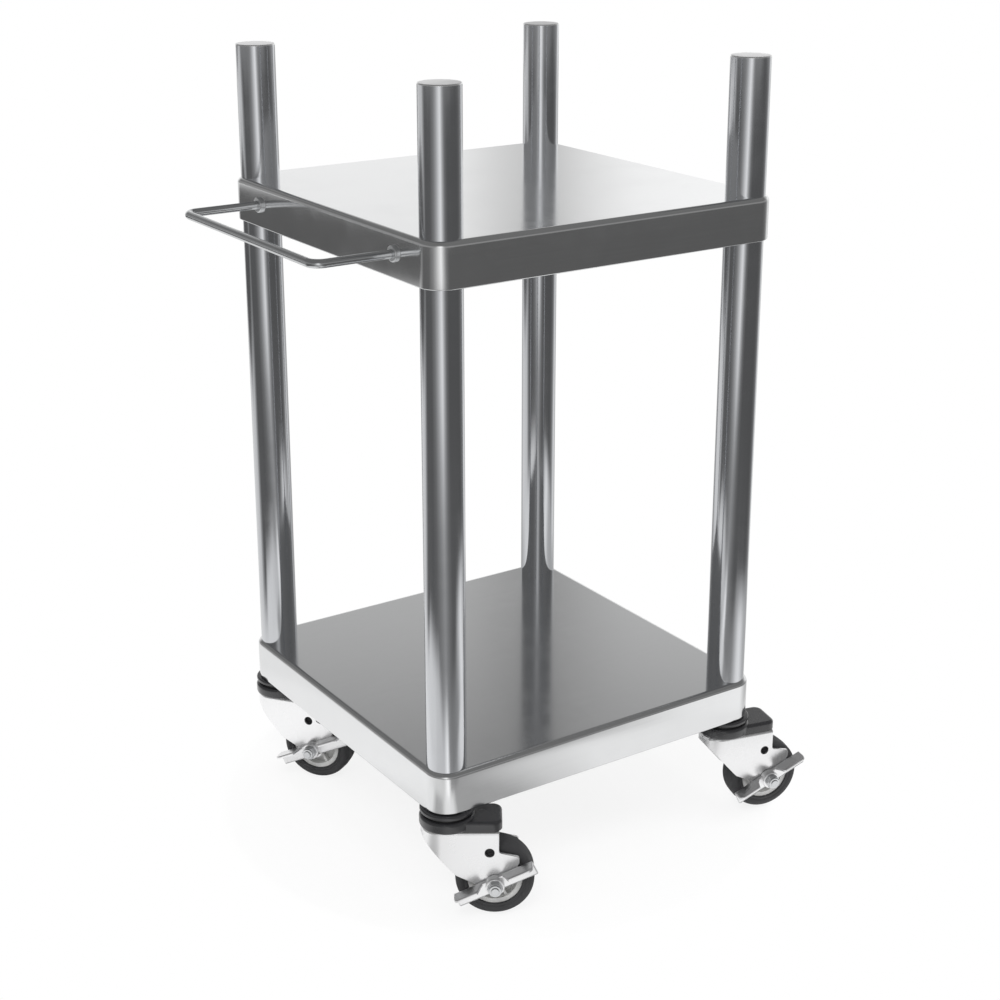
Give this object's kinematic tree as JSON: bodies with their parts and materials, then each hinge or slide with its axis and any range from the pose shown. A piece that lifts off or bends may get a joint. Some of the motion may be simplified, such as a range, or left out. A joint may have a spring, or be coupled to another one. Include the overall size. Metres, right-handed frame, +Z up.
{
  "type": "rice warmer cart",
  "caption": "Square two-shelf stainless cart for a rice warmer, with free-standing tube posts, a rod handle and braked swivel casters.",
  "frame": {"origin": "on the floor, midway between the four posts", "axes": "+X away from the handle, +Y to the back, +Z up"},
  "size_m": [0.5255, 0.4362, 0.784],
  "materials": {
    "post_tube": "polished stainless tube",
    "post_cap": "satin pressed cap",
    "shelf_sheet": "bright-rolled stainless sheet",
    "handle_rod": "polished stainless rod",
    "fastener": "zinc-plated steel",
    "socket": "moulded nylon",
    "stem": "dark glossy coating",
    "bearing": "greased acetal",
    "crown": "dark glossy coating",
    "fork": "bright zinc plating",
    "lever": "bright zinc plating",
    "wheel_core": "moulded polypropylene",
    "tyre": "grey-black thermoplastic rubber"
  },
  "bodies": {
    "frame": {"post_front_left": "post_tube", "post_front_right": "post_tube", "post_rear_left": "post_tube", "post_rear_right": "post_tube", "post_caps": "post_cap", "upper_shelf": "shelf_sheet", "lower_shelf": "shelf_sheet", "handle": "handle_rod", "handle_collars": "fastener", "handle_nuts": "fastener", "caster_sockets": "socket", "caster_stems": "stem", "swivel_bearings": "bearing"},
    "caster_front_left": {"swivel_crown_front_left": "crown", "fork_front_left": "fork", "axle_bolt_front_left": "fastener", "axle_sleeve_front_left": "fastener", "axle_nut_front_left": "fastener"},
    "wheel_front_left": {"wheel_core_front_left": "wheel_core", "tyre_front_left": "tyre"},
    "brake_front_left": {"brake_lever_front_left": "lever"},
    "caster_front_right": {"swivel_crown_front_right": "crown", "fork_front_right": "fork", "axle_bolt_front_right": "fastener", "axle_sleeve_front_right": "fastener", "axle_nut_front_right": "fastener"},
    "wheel_front_right": {"wheel_core_front_right": "wheel_core", "tyre_front_right": "tyre"},
    "brake_front_right": {"brake_lever_front_right": "lever"},
    "caster_rear_left": {"swivel_crown_rear_left": "crown", "fork_rear_left": "fork", "axle_bolt_rear_left": "fastener", "axle_sleeve_rear_left": "fastener", "axle_nut_rear_left": "fastener"},
    "wheel_rear_left": {"wheel_core_rear_left": "wheel_core", "tyre_rear_left": "tyre"},
    "brake_rear_left": {"brake_lever_rear_left": "lever"},
    "caster_rear_right": {"swivel_crown_rear_right": "crown", "fork_rear_right": "fork", "axle_bolt_rear_right": "fastener", "axle_sleeve_rear_right": "fastener", "axle_nut_rear_right": "fastener"},
    "wheel_rear_right": {"wheel_core_rear_right": "wheel_core", "tyre_rear_right": "tyre"},
    "brake_rear_right": {"brake_lever_rear_right": "lever"}
  },
  "joints": [
    {"name": "swivel_front_left", "type": "hinge", "parent": "frame", "child": "caster_front_left", "pos_m": [-0.169, -0.169, 0.104], "axis": [0, 0, 1], "continuous": true},
    {"name": "roll_front_left", "type": "hinge", "parent": "caster_front_left", "child": "wheel_front_left", "pos_m": [-0.13126, -0.19351, 0.0381], "axis": [0.5446, 0.8387, 0], "continuous": true},
    {"name": "brake_front_left", "type": "hinge", "parent": "caster_front_left", "child": "brake_front_left", "pos_m": [-0.13126, -0.19351, 0.0381], "axis": [0.5446, 0.8387, 0], "range_deg": [0, 50]},
    {"name": "swivel_front_right", "type": "hinge", "parent": "frame", "child": "caster_front_right", "pos_m": [0.169, -0.169, 0.104], "axis": [0, 0, 1], "continuous": true},
    {"name": "roll_front_right", "type": "hinge", "parent": "caster_front_right", "child": "wheel_front_right", "pos_m": [0.21285, -0.17912, 0.0381], "axis": [0.225, 0.9744, 0], "continuous": true},
    {"name": "brake_front_right", "type": "hinge", "parent": "caster_front_right", "child": "brake_front_right", "pos_m": [0.21285, -0.17912, 0.0381], "axis": [0.225, 0.9744, 0], "range_deg": [0, 50]},
    {"name": "swivel_rear_left", "type": "hinge", "parent": "frame", "child": "caster_rear_left", "pos_m": [-0.169, 0.169, 0.104], "axis": [0, 0, 1], "continuous": true},
    {"name": "roll_rear_left", "type": "hinge", "parent": "caster_rear_left", "child": "wheel_rear_left", "pos_m": [-0.14192, 0.13306, 0.0381], "axis": [0.7986, 0.6018, 0], "continuous": true},
    {"name": "brake_rear_left", "type": "hinge", "parent": "caster_rear_left", "child": "brake_rear_left", "pos_m": [-0.14192, 0.13306, 0.0381], "axis": [0.7986, 0.6018, 0], "range_deg": [0, 50]},
    {"name": "swivel_rear_right", "type": "hinge", "parent": "frame", "child": "caster_rear_right", "pos_m": [0.169, 0.169, 0.104], "axis": [0, 0, 1], "continuous": true},
    {"name": "roll_rear_right", "type": "hinge", "parent": "caster_rear_right", "child": "wheel_rear_right", "pos_m": [0.20674, 0.14449, 0.0381], "axis": [0.5446, 0.8387, 0], "continuous": true},
    {"name": "brake_rear_right", "type": "hinge", "parent": "caster_rear_right", "child": "brake_rear_right", "pos_m": [0.20674, 0.14449, 0.0381], "axis": [0.5446, 0.8387, 0], "range_deg": [0, 50]}
  ]
}
